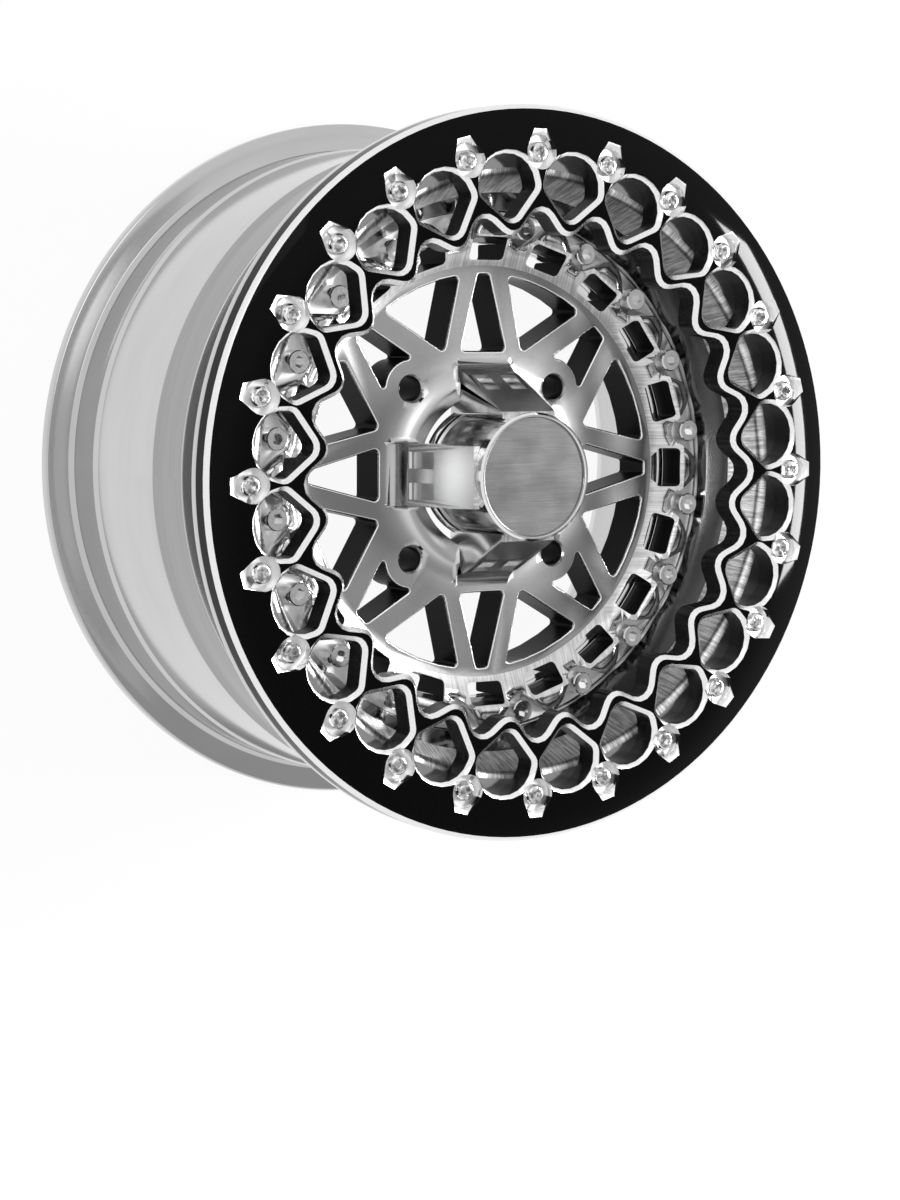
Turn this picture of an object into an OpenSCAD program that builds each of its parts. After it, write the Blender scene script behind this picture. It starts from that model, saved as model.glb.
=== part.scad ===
// Three-piece billet beadlock wheel: a pierced centre, two rim halves and a windowed clamp ring.
// The spin axis is +Z, the outboard face looks up and the inboard rim edge is the plane z = 0.

/* [Rim halves] */
// Diameter of the bead seats, which sets the size of both rim halves and the ring
bead_d = 380.2; // [370:0.2:392]
// Height of the inboard flange over the bead seat
flange_h = 16.9; // [14:0.1:20]
// Thickness of the inboard rim flange
flange_t = 7; // [4:0.5:10]
// Width of the inboard bead seat
bead_w = 24; // [16:1:32]
// Height of the safety hump over the barrel
hump_h = 1.2; // [0.6:0.1:2.5]
// Wall of the inboard barrel
barrel_t = 5.5; // [4:0.5:8]
// Step down from the barrel to its outboard shoulder
shoulder_drop = 3; // [1:0.5:5]
// Length of the outboard shoulder of the barrel
shoulder_w = 26; // [16:1:40]
// Depth from the inboard rim edge to the back of the clamp flanges
back_depth = 139.2; // [120:0.2:160]
// Thickness of each rim half at the clamp flange
clamp_t = 6; // [4:0.5:9]
// Wall of the outboard bowl
bowl_t = 6; // [4:0.5:9]
// Height of the bowl above the clamp flange, up to its lip
bowl_h = 28.8; // [20:0.2:36]
// Depth of the dish from the bowl's foot to the ring
dish_h = 49.8; // [44:0.2:60]
// Width of the outboard bead seat
outer_bead_w = 18; // [14:1:22]

/* [Centre] */
// Thickness of the centre's bolting flange
centre_flange_t = 8; // [6:0.5:12]
// Step from the bolting flange's face down to the hub face
hub_drop = 2.2; // [0:0.1:4]
// Thickness of the hub plate
plate_t = 25; // [18:1:34]
// Diameter of the wheel stud circle
stud_pcd = 137; // [130:1:146]
// Number of wheel studs
stud_n = 4; // [4:4:4]
// Diameter of a stud hole
stud_hole_d = 14.4; // [12:0.2:18]
// Diameter of the vehicle hub's spigot bore
hub_bore_d = 110; // [96:1:112]
// Depth of the spigot bore
hub_bore_depth = 13; // [6:1:18]
// Diameter of the open throat round the tower
throat_d = 88; // [84:1:92]
// Outside diameter of the tower's tube
tower_d = 69; // [62:1:74]
// Wall of the tower's tube
tower_t = 4.5; // [3:0.5:7]
// Height of the tower above the hub face
tower_h = 48; // [36:1:60]
// Width of a tower leg
leg_w = 35; // [28:1:42]
// Reach of a tower leg's foot from the axis
leg_reach = 57; // [54:1:60]

/* [Fasteners] */
// Distance of the assembly screw circle inside the bead seat
screw_inset = 49.1; // [45:0.1:53]
// Number of assembly screws
screw_n = 20; // [20:4:20]
// Thread diameter of an assembly screw
screw_d = 8; // [6:1:9]
// Distance of the beadlock bolt circle inside the bead seat
bolt_inset = 10.5; // [8:0.1:12]
// Number of beadlock bolts
bolt_n = 24; // [24:4:24]
// Thread diameter of a beadlock bolt
bolt_d = 6.4; // [5:0.1:7]

/* [Clamp ring] */
// Reach of the clamp ring's edge beyond the bead seat
ring_reach = 15.9; // [13:0.1:19]
// Thickness of the clamp ring
ring_t = 16; // [12:0.5:20]
// Fall of the ring's crowned face at its edge
crown_fall = 4.5; // [1:0.5:6]
// Bright chamfer along the windows and the wave
ring_chamfer = 2.4; // [1:0.1:3]
// Radius of a window's round end
window_r = 18.2; // [15:0.1:19]
// Depth of a bolt pocket
pocket_depth = 5; // [3.5:0.5:7]

/* [Cap] */
// Height of the cap above the tower
cap_h = 7.6; // [5:0.2:11]
// Outside diameter of the cap
cap_d = 72; // [66:1:80]
// Width of the polished bezel
bezel_w = 2.6; // [1.5:0.1:5]

/* [Hidden] */

$fn = 96;
fit = 0.2;
thread_gap = 0.05;
flare_lap = 0.5;

// Heights of the faces that meet
joint_z = back_depth + clamp_t;
seat_z = joint_z + clamp_t;
floor_z = seat_z + centre_flange_t;
hub_z = floor_z - hub_drop;
mount_z = hub_z - plate_t;
ring_z = seat_z + dish_h;
face_z = ring_z + ring_t;
lip_z = seat_z + bowl_h;
tower_z = hub_z + tower_h;

// Radii of the faces that meet
bead_r = bead_d / 2;
flange_r = bead_r + flange_h;
ring_r = bead_r + ring_reach;
screw_r = bead_r - screw_inset;
bolt_r = bead_r - bolt_inset;
stud_r = stud_pcd / 2;
shoulder_r = bead_r - shoulder_drop;
clamp_bore_r = screw_r - 9.5;
pilot_r = clamp_bore_r - fit;
centre_r = screw_r + 8.6;
bowl_r = centre_r + fit;
clamp_edge_r = bowl_r + 12.2;
lip_r = screw_r + 18;
shelf_r = bolt_r - 8.1;
tower_r = tower_d / 2;
tower_bore_r = tower_r - tower_t;
throat_r = throat_d / 2;
hub_bore_r = hub_bore_d / 2;

// The vector of length one along v
function unit(v) = v / norm(v);

// The signed turn from angle a to angle b, between -180 and 180
function turn(a, b) = let (d = b - a) d > 180 ? d - 360 : d < -180 ? d + 360 : d;

// Points of the round that replaces corner b between a and c, with radius r in n steps
function round_corner(a, b, c, r, n) =
    r <= 0 ? [b] :
    let (
        u = unit(a - b),
        v = unit(c - b),
        half = acos(max(-1, min(1, u * v))) / 2,
        o = b + unit(u + v) * r / sin(half),
        p = b + u * r / tan(half) - o,
        q = b + v * r / tan(half) - o,
        start = atan2(p.y, p.x),
        sweep = turn(start, atan2(q.y, q.x))
    )
    [for (i = [0:n]) o + r * [cos(start + sweep * i / n), sin(start + sweep * i / n)]];

// A closed outline from corners [x, y, radius, steps]
function rounded(pts) = [
    for (i = [0:len(pts) - 1])
        let (
            a = pts[(i + len(pts) - 1) % len(pts)],
            b = pts[i],
            c = pts[(i + 1) % len(pts)]
        )
        each round_corner([a.x, a.y], [b.x, b.y], [c.x, c.y], b[2], b[3])
];

// The outline moved outwards by d, for an outline that runs anticlockwise
function grown(path, d) = [
    for (i = [0:len(path) - 1])
        let (
            p = path[i],
            e = unit(p - path[(i + len(path) - 1) % len(path)]),
            f = unit(path[(i + 1) % len(path)] - p),
            m = [e.y, -e.x],
            n = [f.y, -f.x]
        )
        p + d * (m + n) / (1 + m * n)
];

// Points of an arc about [x, y]
function arc(x, y, r, from, to, n) =
    [for (i = [0:n]) let (a = from + (to - from) * i / n) [x + r * cos(a), y + r * sin(a)]];

// A 45 degree flare that widens the outline upwards by depth and ends flush at height z
module flare(path, depth, z) {
    n = len(path);
    low = [for (p = grown(path, -flare_lap)) [p.x, p.y, z - depth - flare_lap]];
    high = [for (p = grown(path, depth + flare_lap)) [p.x, p.y, z + flare_lap]];
    polyhedron(
        points = concat(low, high),
        faces = concat(
            [[for (i = [0:n - 1]) i]],
            [[for (i = [0:n - 1]) 2 * n - 1 - i]],
            [for (i = [0:n - 1]) [i, n + i, n + (i + 1) % n, (i + 1) % n]]
        )
    );
}

// A 45 degree flare along the wave, as a closed band that reaches inwards over the opening
module wave_flare() {
    n = len(wave_path);
    foot_z = face_z - ring_chamfer - flare_lap;
    top_z = face_z + flare_lap;
    low = [for (p = grown(wave_path, -flare_lap)) [p.x, p.y, foot_z]];
    high = [for (p = grown(wave_path, ring_chamfer + flare_lap)) [p.x, p.y, top_z]];
    inner = [for (p = low) [p.x * 0.93, p.y * 0.93, top_z]];
    polyhedron(points = concat(low, high, inner), faces = [
        for (loop = [0:2], i = [0:n - 1])
            let (a = loop * n, b = (loop + 1) % 3 * n, k = (i + 1) % n)
            [a + i, b + i, b + k, a + k]
    ]);
}

// Copies of the children at n even steps round the axis, the first at angle from
module around(n, from = 0) {
    for (i = [0:n - 1]) rotate(from + 360 * i / n) children();
}

// A prism of an outline between two heights
module prism(path, z0, z1) {
    translate([0, 0, z0]) linear_extrude(z1 - z0) polygon(path);
}

// A straight rod along +Z
module rod(r, z0, z1) {
    translate([0, 0, z0]) cylinder(r = r, h = z1 - z0);
}

// Hexagon rod with the given width across its flats
module hex_rod(across, z0, z1) {
    translate([0, 0, z0]) cylinder(d = across / cos(30), h = z1 - z0, $fn = 6);
}

// Wheel centre: truss between the hub and the bolting flange
truss_r = screw_r - 19.5;
truss_in_r = truss_r - 8;
belt_out_r = screw_r - 6.5;
lobe_top_z = floor_z + 7.6;
hub_edge = stud_r + 1;
boss_r = 16.7;
belt_window_w = 23;

// Wedge window, narrow at the rim
function wedge_window() = rounded([
    [hub_edge, -15.1, 2.5, 4],
    [truss_in_r, -3.6, 1.8, 4],
    [truss_in_r, 3.6, 1.8, 4],
    [hub_edge, 15.1, 2.5, 4]
]);

// Triangular window beside the wedge, its outer side bowed along the truss ring
function side_window() = rounded(concat(
    [[hub_edge - 0.6, 26.2, 2.5, 4]],
    [[truss_in_r * cos(8.4), truss_in_r * sin(8.4), 2, 4]],
    [for (a = [15, 22, 29]) [truss_in_r * cos(a), truss_in_r * sin(a), 0, 0]],
    [[truss_in_r * cos(35.6), truss_in_r * sin(35.6), 2.5, 4]]
));

// Small window outside a stud boss, on its own diagonal, with an ear on each side of the boss
function boss_window() = rounded(concat(
    [[truss_in_r, 4.6, 2, 4], [stud_r + 11.4, 13.2, 1.3, 3]],
    [for (a = [38:-9.5:-38]) [stud_r + boss_r * cos(a), boss_r * sin(a), 0, 0]],
    [[stud_r + 11.4, -13.2, 1.3, 3], [truss_in_r, -4.6, 2, 4]]
));

// Window of the belt, under a lobe
function belt_window() = rounded([
    [truss_r, -belt_window_w / 2, 2.5, 4],
    [belt_out_r, -belt_window_w / 2, 2.5, 4],
    [belt_out_r, belt_window_w / 2, 2.5, 4],
    [truss_r, belt_window_w / 2, 2.5, 4]
]);

// Scalloped outline of the lobes, hollowed round each screw head
lobe_path = rounded([
    for (i = [0:2 * screw_n - 1])
        let (a = 180 / screw_n * i, crest = i % 2 == 0, r = screw_r + (crest ? 13.4 : -14))
        [r * cos(a), r * sin(a), crest ? 8 : 9.1, crest ? 6 : 8]
]);

// Section of the lobed belt that stands on the bolting flange
belt_section = [
    [truss_in_r + 3, hub_z - 6], [truss_in_r + 3, hub_z], [truss_r - 3, hub_z],
    [belt_out_r - 1.5, lobe_top_z - 3.2], [belt_out_r + 2, lobe_top_z],
    [screw_r + 1.5, lobe_top_z - 1.2], [screw_r + 8, lobe_top_z - 4.4], [screw_r + 8, floor_z - 1],
    [belt_out_r, floor_z - 1], [belt_out_r, hub_z - 6]
];

// Section of the whole turned blank, without its lobes
blank_section = concat(
    [[hub_bore_r, mount_z], [pilot_r - 1, mount_z], [pilot_r, mount_z + 1], [pilot_r, seat_z]],
    [[centre_r, seat_z], [centre_r, floor_z - 0.6], [centre_r - 0.6, floor_z]],
    [[truss_r + 5, floor_z], [truss_r + 3, hub_z], [leg_reach + 9, hub_z]],
    arc(leg_reach + 9, hub_z + 22, 22, 270, 238, 5),
    [[throat_r + 1, hub_z + 2.6], [throat_r, hub_z + 1.6]],
    [[throat_r, mount_z + hub_bore_depth], [hub_bore_r, mount_z + hub_bore_depth]]
);

// Side outline of a tower leg
leg_section = concat(
    [[tower_r - 2, hub_z - 7], [leg_reach - 4, hub_z - 7], [leg_reach + 9, hub_z - 1]],
    arc(leg_reach + 9, hub_z + 9, 9, 270, 190, 6),
    [[leg_reach - 1, hub_z + 10.5], [cap_d / 2 + 0.4, tower_z], [tower_r - 2, tower_z]]
);

// Two pockets in each leg's sloping face
leg_pocket_w = 9.5;
leg_pocket_l = 16.5;
leg_pocket_depth = 7;

// Rise of the leg's sloping face
leg_slope = atan2(tower_h - 10.5, leg_reach - 1 - cap_d / 2 - 0.4);

module wheel_centre() color("silver") difference() {
    union() {
        rotate_extrude($fn = 180) polygon(blank_section);
        intersection() {
            rotate_extrude($fn = 180) polygon(belt_section);
            prism(lobe_path, hub_z - 7, lobe_top_z + 1);
        }
        rod(tower_r, hub_z - 4, tower_z);
        rod(tower_r + 4, hub_z - 4, hub_z - 1);
        rod(tower_r + 2, hub_z - 1.5, hub_z + 2);
        around(4) rotate([90, 0, 0]) translate([0, 0, -leg_w / 2]) linear_extrude(leg_w) polygon(leg_section);
    }
    rod(tower_bore_r, mount_z - 1, tower_z + 1);
    around(4) prism(wedge_window(), mount_z - 1, hub_z + 1);
    around(4) prism(side_window(), mount_z - 1, hub_z + 1);
    around(4) mirror([0, 1, 0]) prism(side_window(), mount_z - 1, hub_z + 1);
    around(4, 45) prism(boss_window(), mount_z - 1, hub_z + 1);
    around(screw_n) prism(belt_window(), mount_z - 1, lobe_top_z + 1);
    around(stud_n, 45) translate([stud_r, 0, 0]) {
        rod(stud_hole_d / 2, mount_z - 1, hub_z + 1);
        translate([0, 0, hub_z - 1]) cylinder(r1 = stud_hole_d / 2, r2 = stud_hole_d / 2 + 2, h = 2);
    }
    around(screw_n, 180 / screw_n) translate([screw_r, 0, 0]) rod(screw_d / 2 + fit, seat_z - 1, floor_z + 1);
    around(4) for (y = [-1, 1])
        translate([leg_reach - 1, y * leg_w / 4, hub_z + 10.5]) rotate([0, leg_slope - 90, 0])
            translate([-leg_pocket_depth, -leg_pocket_w / 2, 0]) cube([2 * leg_pocket_depth, leg_pocket_w, leg_pocket_l]);
}

// Inboard rim half: flange, bead seat, hump, barrel and shoulder, closed by the clamp flange
hump_z = flange_t + bead_w;
heel = 4;
inner_section = [
    [flange_r - 1, 0], [flange_r, 1], [flange_r, flange_t - 1], [flange_r - 1, flange_t],
    [flange_r - 7, flange_t + 0.6], [bead_r + 3, flange_t + 1.2], [bead_r + 0.9, flange_t + 2.2],
    [bead_r, flange_t + 4.5], [bead_r - 0.8, hump_z - 1.5], [bead_r - 0.8 + hump_h, hump_z + 2],
    [bead_r - 0.8 + hump_h, hump_z + 6], [bead_r - 0.8, hump_z + 10],
    [bead_r - 0.8, joint_z - shoulder_w - 6], [shoulder_r, joint_z - shoulder_w],
    [shoulder_r, joint_z - 1], [shoulder_r - 1, joint_z],
    [clamp_bore_r, joint_z], [clamp_bore_r, back_depth],
    [shoulder_r - barrel_t - heel, back_depth], [shoulder_r - barrel_t, back_depth - heel],
    [shoulder_r - barrel_t, joint_z - shoulder_w - 6],
    [bead_r - 0.8 - barrel_t, joint_z - shoulder_w - 14], [bead_r - 0.8 - barrel_t, flange_t + 4],
    [bead_r - 0.8 - barrel_t + 4, 0]
];
valve_seat_r = 7.6;
valve_r = clamp_edge_r + valve_seat_r + 1;
valve_hole_r = 5.8;
valve_angle = 162;

module at_valve() {
    rotate(valve_angle) translate([valve_r, 0, 0]) children();
}

module inner_rim_half() color("gainsboro") difference() {
    rotate_extrude($fn = 180) polygon(inner_section);
    around(screw_n, 180 / screw_n) translate([screw_r, 0, 0]) rod(screw_d / 2 + fit, back_depth - 1, joint_z + 1);
    at_valve() rod(valve_hole_r, back_depth - 1, joint_z + 1);
}

// Outboard rim half: clamp flange, polished bowl, brushed cone and the shelf that carries the ring
seal_r = bowl_r + 4;
seal_d = 3;
outer_flange_t = 5;
insert_l = 14;
insert_r = bolt_d / 2 + 1.4;
outer_section = [
    [clamp_bore_r, joint_z], [clamp_bore_r, seat_z], [bowl_r, seat_z], [bowl_r, floor_z + 3],
    [lip_r - 1, lip_z - 2], [lip_r, lip_z], [shelf_r, ring_z], [ring_r - 0.6, ring_z],
    [ring_r, ring_z - 0.6], [ring_r, ring_z - outer_flange_t + 1], [ring_r - 1, ring_z - outer_flange_t],
    [bead_r + 3, ring_z - outer_flange_t - 0.6], [bead_r, ring_z - outer_flange_t - 3.5],
    [bead_r - 0.8, ring_z - outer_flange_t - outer_bead_w], [lip_r + bowl_t + 3, lip_z - 6],
    [bowl_r + bowl_t, seat_z + 4], [clamp_edge_r, seat_z], [clamp_edge_r, joint_z]
];

module outer_rim_half() color("whitesmoke") difference() {
    rotate_extrude($fn = 180) polygon(outer_section);
    around(screw_n, 180 / screw_n) translate([screw_r, 0, 0]) rod(screw_d / 2 + fit, joint_z - 1, seat_z + 1);
    around(bolt_n) translate([bolt_r, 0, 0]) rod(insert_r + thread_gap, ring_z - insert_l - 4, ring_z + 1);
    translate([0, 0, joint_z - 1]) difference() {
        cylinder(r = seal_r + seal_d / 2 + fit, h = 1 + seal_d);
        translate([0, 0, -1]) cylinder(r = seal_r - seal_d / 2 - fit, h = 4 + seal_d);
    }
}

// Clamp ring: crowned black face, waved inner edge, windows and bolt pockets
wave_out = bolt_r - 27.1;
wave_in = bolt_r - 48.3;
window_mid = bolt_r - 18.1;
window_tip = window_mid - 20;
crown_from = bolt_r - 7.6;
edge_chamfer = 2.5;
pocket_r = 9.6;
pocket_tip_r = 3.9;
pocket_reach = 12.4;
head_h = 3.8;
head_r = 5.8;
pocket_z = face_z - pocket_depth;

crown_run = ring_r - edge_chamfer - crown_from;
ring_section = concat(
    [[wave_in - 4, ring_z], [ring_r - 0.6, ring_z], [ring_r, ring_z + 0.6]],
    [[ring_r, face_z - crown_fall - edge_chamfer]],
    [for (i = [6:-1:0]) [crown_from + crown_run * i / 6, face_z - crown_fall * pow(i / 6, 2)]],
    [[wave_in - 4, face_z]]
);

wave_path = rounded([
    for (i = [0:2 * bolt_n - 1])
        let (a = 180 / bolt_n * i, out = i % 2 == 0, r = out ? wave_out : wave_in)
        [r * cos(a), r * sin(a), out ? 8 : 9, 4]
]);

// Window outline: round outside, two straight sides that meet in a small round inside
function ring_window() = rounded([
    [window_tip, 0, 6, 4],
    [window_mid - 2.4, window_r * -1, 4.2, 2],
    [window_mid + window_r, window_r * -1, window_r * 0.97, 5],
    [window_mid + window_r, window_r, window_r * 0.97, 5],
    [window_mid - 2.4, window_r, 4.2, 2]
]);

// Teardrop outline of a bolt pocket
pocket_lean = asin((pocket_r - pocket_tip_r) / pocket_reach);
pocket_path = concat(
    arc(bolt_r, 0, pocket_r, 90 - pocket_lean, 270 + pocket_lean, 14),
    arc(bolt_r + pocket_reach, 0, pocket_tip_r, -90 + pocket_lean, 90 - pocket_lean, 6)
);

module bolt_pocket() {
    intersection() {
        prism(pocket_path, pocket_z, face_z + 1);
        union() {
            translate([bolt_r, 0, 0]) rod(pocket_r + 0.1, pocket_z, face_z + 1);
            translate([bolt_r, -pocket_r, pocket_z + 0.8]) rotate([0, -10, 0]) cube([40, 2 * pocket_r, 20]);
        }
    }
}

module beadlock_ring() color("black") difference() {
    rotate_extrude($fn = 180) polygon(ring_section);
    prism(wave_path, ring_z - 1, face_z + 1);
    wave_flare();
    around(bolt_n, 180 / bolt_n) {
        prism(ring_window(), ring_z - 1, face_z + 1);
        flare(ring_window(), ring_chamfer, face_z);
    }
    around(bolt_n) {
        bolt_pocket();
        translate([bolt_r, 0, 0]) rod(bolt_d / 2 + fit, ring_z - 1, pocket_z + 1);
    }
}

// Domed head on a shank, with a hexagon socket
module button_bolt(d, r, h, length, socket) {
    difference() {
        union() {
            rotate_extrude($fn = 48) polygon(concat(
                [[0, 0], [r, 0], [r, h * 0.3]],
                [for (a = [15:15:75]) [r - (r - socket * 0.72) * (1 - cos(a)), h * 0.3 + h * 0.7 * sin(a)]],
                [[socket * 0.72, h], [0, h]]
            ));
            rod(d / 2, -length, 0.5);
        }
        hex_rod(socket, h - 2.6, h + 1);
    }
}

module beadlock_bolts() color("lightgray") around(bolt_n) translate([bolt_r, 0, pocket_z])
    button_bolt(bolt_d, head_r, head_h, pocket_z - ring_z + insert_l - 1, 4.8);

module beadlock_inserts() color("goldenrod") around(bolt_n) translate([bolt_r, 0, 0]) difference() {
    rod(insert_r, ring_z - insert_l, ring_z - 0.4);
    rod(bolt_d / 2 + thread_gap, ring_z - insert_l - 1, ring_z + 1);
}

// Assembly hardware through the centre and both rim halves
screw_head_h = screw_d;
screw_head_r = screw_d * 0.8125;
washer_t = 1.6;
nut_h = screw_d;
nut_across = screw_d * 1.625;

module assembly_screws() color("lightgray") around(screw_n, 180 / screw_n) translate([screw_r, 0, floor_z]) difference() {
    union() {
        rod(screw_head_r, 0, screw_head_h - 0.6);
        translate([0, 0, screw_head_h - 0.6]) cylinder(r1 = screw_head_r, r2 = screw_head_r - 0.6, h = 0.6);
        rod(screw_d / 2, -(floor_z - back_depth + washer_t + nut_h + 2), 1);
    }
    hex_rod(screw_d * 0.75, screw_head_h * 0.45, screw_head_h + 1);
}

module assembly_washers() color("silver") around(screw_n, 180 / screw_n) translate([screw_r, 0, 0]) difference() {
    rod(screw_d, back_depth - washer_t, back_depth);
    rod(screw_d / 2 + fit, back_depth - washer_t - 1, back_depth + 1);
}

module assembly_nuts() color("silver") around(screw_n, 180 / screw_n) translate([screw_r, 0, 0]) difference() {
    rotate(30) hex_rod(nut_across, back_depth - washer_t - nut_h, back_depth - washer_t);
    rod(screw_d / 2 + thread_gap, back_depth - washer_t - nut_h - 1, back_depth);
}

// Ring seal in the groove between the rim halves
module rim_seal() color("dimgray") rotate_extrude($fn = 180)
    translate([seal_r, joint_z + seal_d / 2]) circle(d = seal_d, $fn = 24);

// Cap: a plug in the tower's tube, a polished bezel and a brushed disc
cap_r = cap_d / 2;
cap_base_t = 3;
plug_l = 12;
plug_wall = 3;
cap_groove = 2;
cap_seal_d = cap_groove - 2 * thread_gap;
badge_r = cap_r - bezel_w;
badge_drop = 1.4;

module cap_body() color("silver") difference() {
    union() {
        rod(cap_r, tower_z, tower_z + cap_base_t);
        rod(badge_r - 1.5, tower_z, tower_z + cap_h - badge_drop - 2);
        rod(tower_bore_r - fit, tower_z - plug_l, tower_z);
    }
    rod(tower_bore_r - fit - plug_wall, tower_z - plug_l - 1, tower_z);
    translate([0, 0, tower_z - plug_l + 4]) difference() {
        cylinder(r = tower_bore_r + 1, h = 2 * cap_groove);
        translate([0, 0, -1]) cylinder(r = tower_bore_r - fit - cap_groove, h = 2 * cap_groove + 2);
    }
}

module cap_bezel() color("white") rotate_extrude($fn = 120) polygon([
    [badge_r - 1.5, tower_z + cap_base_t], [cap_r, tower_z + cap_base_t], [cap_r, tower_z + cap_h - 1.2],
    [cap_r - 1.2, tower_z + cap_h], [badge_r + 0.6, tower_z + cap_h], [badge_r, tower_z + cap_h - 0.6],
    [badge_r, tower_z + cap_h - badge_drop - 2], [badge_r - 1.5, tower_z + cap_h - badge_drop - 2]
]);

module cap_badge() color("darkgray")
    rod(badge_r - fit / 2, tower_z + cap_h - badge_drop - 2, tower_z + cap_h - badge_drop);

module cap_seal() color("dimgray") rotate_extrude($fn = 120)
    translate([tower_bore_r - thread_gap - cap_seal_d / 2, tower_z - plug_l + 4 + cap_groove])
        circle(d = cap_seal_d, $fn = 20);

// Clamp-in tyre valve through the inboard half, behind the shoulder
valve_shank_r = 4.1;
valve_l = 24;
grommet_t = 3;
valve_nut_h = 5;

module valve_stem() color("silver") at_valve() difference() {
    union() {
        rod(valve_seat_r - 0.6, joint_z + grommet_t, joint_z + grommet_t + 2.5);
        rod(valve_shank_r, back_depth - valve_l, joint_z + grommet_t + 1);
    }
    rod(1.75, back_depth - valve_l - 1, joint_z + grommet_t + 4);
}

module valve_grommet() color("dimgray") at_valve() difference() {
    union() {
        rod(valve_seat_r, joint_z, joint_z + grommet_t);
        rod(valve_hole_r - thread_gap, back_depth, joint_z + 1);
    }
    rod(valve_shank_r + thread_gap, back_depth - 1, joint_z + grommet_t + 1);
}

module valve_washer() color("silver") at_valve() difference() {
    rod(valve_seat_r - 0.8, back_depth - 1, back_depth);
    rod(valve_shank_r + thread_gap, back_depth - 2, back_depth + 1);
}

module valve_nut() color("silver") at_valve() difference() {
    hex_rod(12, back_depth - 1 - valve_nut_h, back_depth - 1);
    rod(valve_shank_r + thread_gap, back_depth - 2 - valve_nut_h, back_depth);
}

module valve_cap() color("dimgray") at_valve() difference() {
    rod(5.2, back_depth - valve_l - 1.5, back_depth - valve_l + 9);
    rod(valve_shank_r + thread_gap, back_depth - valve_l, back_depth - valve_l + 10);
}

module valve_core() color("gold") at_valve() rod(1.7, back_depth - valve_l + 1, back_depth - valve_l + 18);

wheel_centre();
inner_rim_half();
outer_rim_half();
beadlock_ring();
beadlock_bolts();
beadlock_inserts();
assembly_screws();
assembly_washers();
assembly_nuts();
rim_seal();
cap_body();
cap_bezel();
cap_badge();
cap_seal();
valve_stem();
valve_grommet();
valve_washer();
valve_nut();
valve_cap();
valve_core();
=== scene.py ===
# %% [markdown]
# # A three-piece wheel with a clamp ring
# The wheel is a billet centre bolted between two rim halves, with a black ring that clamps the
# tyre's bead on its outboard side. The solid model gives every piece its size and place. This
# script gives each one its surface: it loads the solids, rebuilds the turned pieces as smooth
# surfaces, rounds the milled pieces' edges, and paints every face with a finish made of nodes.

# %% Load the solids
import math

import bmesh
import bpy
import numpy as np
from mathutils import Matrix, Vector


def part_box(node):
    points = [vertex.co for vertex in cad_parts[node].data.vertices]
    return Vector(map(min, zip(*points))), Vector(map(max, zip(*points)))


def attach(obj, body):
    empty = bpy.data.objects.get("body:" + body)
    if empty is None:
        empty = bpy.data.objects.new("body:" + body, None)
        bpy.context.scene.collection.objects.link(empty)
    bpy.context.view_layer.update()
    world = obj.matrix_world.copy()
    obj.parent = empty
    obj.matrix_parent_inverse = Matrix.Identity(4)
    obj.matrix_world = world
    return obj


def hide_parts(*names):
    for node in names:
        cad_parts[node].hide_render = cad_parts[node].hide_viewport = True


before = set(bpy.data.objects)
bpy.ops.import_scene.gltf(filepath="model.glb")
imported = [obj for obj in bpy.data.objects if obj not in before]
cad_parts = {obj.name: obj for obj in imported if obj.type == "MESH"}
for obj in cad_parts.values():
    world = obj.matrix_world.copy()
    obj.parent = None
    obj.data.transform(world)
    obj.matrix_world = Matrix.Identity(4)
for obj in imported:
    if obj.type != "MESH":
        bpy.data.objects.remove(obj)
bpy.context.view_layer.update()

# %% [markdown]
# The heights and radii that the surfaces share are read off the solids' own boxes, so that a
# surface stays on its solid when a size changes. Lengths are in millimetres up to the point
# where a mesh, a lamp or the camera takes them.

# %% Measures taken from the solids
MM = 0.001
RING_REACH, BOLT_HEAD_R, BOWL_GAP = 15.9, 5.8, 0.2
LEDGE_H, HUB_H = 8.0, 17.8
low = {name: np.array(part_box(name)[0]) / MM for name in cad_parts}
high = {name: np.array(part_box(name)[1]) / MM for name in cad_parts}
FACE_Z, RING_Z = high["beadlock_ring"][2], low["beadlock_ring"][2]
RING_R, FLANGE_R = high["beadlock_ring"][0], high["inner_rim_half"][0]
BEAD_R = RING_R - RING_REACH
BOWL_R = high["wheel_centre"][0] + BOWL_GAP
BACK_Z, JOINT_Z = high["assembly_washers"][2], high["inner_rim_half"][2]
SEAT_Z = 2 * JOINT_Z - BACK_Z
FLOOR_Z = SEAT_Z + LEDGE_H
HUB_Z = BACK_Z + HUB_H
BOLT_R = high["beadlock_bolts"][0] - BOLT_HEAD_R
print("face", FACE_Z, "ring back", RING_Z, "joint", JOINT_Z, "hub face", HUB_Z)

# %% [markdown]
# ## Shader maths in Python
# A finish is a small network of nodes. Writing it as an expression is easier to read than
# linking nodes by hand, so a Wire stands for one output socket, and each operator on it adds
# the Math node of that name. The reflected forms let a number stand on the left.


# %% A wire that understands arithmetic
def connect(tree, value, socket):
    """Puts a wire, a number or a colour on an input socket."""
    if isinstance(value, Wire):
        tree.links.new(value.out, socket)
    else:
        socket.default_value = value


class Wire:
    """One output socket, with Python's operators as its Math nodes."""

    def __init__(self, tree, out):
        self.tree, self.out = tree, out

    def math(self, operation, *values):
        node = self.tree.nodes.new("ShaderNodeMath")
        node.operation = operation
        for value, socket in zip(values, node.inputs):
            connect(self.tree, value, socket)
        return Wire(self.tree, node.outputs[0])

    def __add__(self, other):
        return self.math("ADD", self, other)

    def __sub__(self, other):
        return self.math("SUBTRACT", self, other)

    def __rsub__(self, other):
        return self.math("SUBTRACT", other, self)

    def __mul__(self, other):
        return self.math("MULTIPLY", self, other)

    def __truediv__(self, other):
        return self.math("DIVIDE", self, other)

    def __gt__(self, other):
        return self.math("GREATER_THAN", self, other)

    __radd__ = __add__
    __rmul__ = __mul__


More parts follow.
